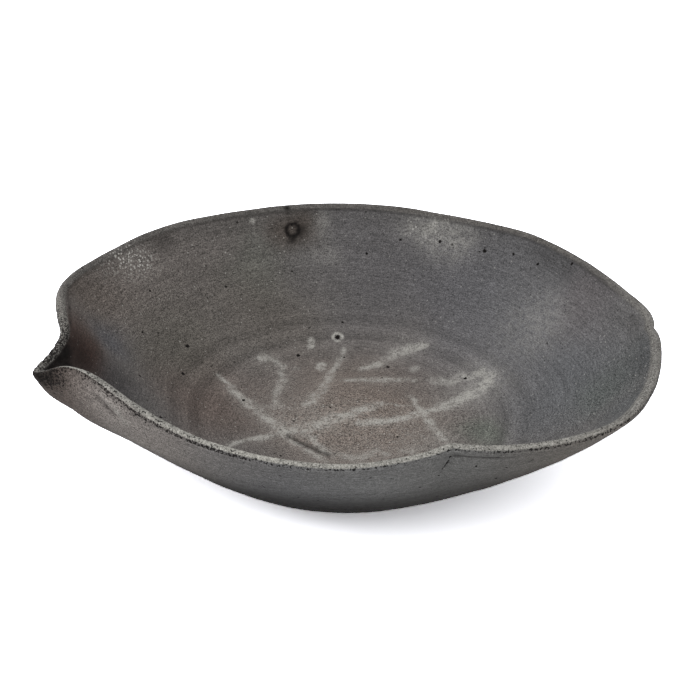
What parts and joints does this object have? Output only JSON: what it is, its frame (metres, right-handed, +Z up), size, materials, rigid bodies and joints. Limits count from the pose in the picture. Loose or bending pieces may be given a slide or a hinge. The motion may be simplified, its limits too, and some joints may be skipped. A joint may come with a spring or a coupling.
{
  "type": "serving bowl",
  "caption": "Shallow thrown stoneware serving bowl with an irregular pressed rim, a pinched spout and a low luted foot ring.",
  "frame": {"origin": "on the table, under the middle of the bowl's outline", "axes": "+Z up out of the bowl, -X towards the pinched spout, +Y towards the far side as seen in use"},
  "size_m": [0.2734, 0.2332, 0.0729],
  "materials": {
    "dark_stoneware": "matte, sandy, grey-brown with pale straw-like ash marks inside",
    "bare_foot_clay": "matte, coarse"
  },
  "bodies": {
    "root": {"bowl_body": "dark_stoneware", "foot_ring": "bare_foot_clay"}
  },
  "joints": []
}
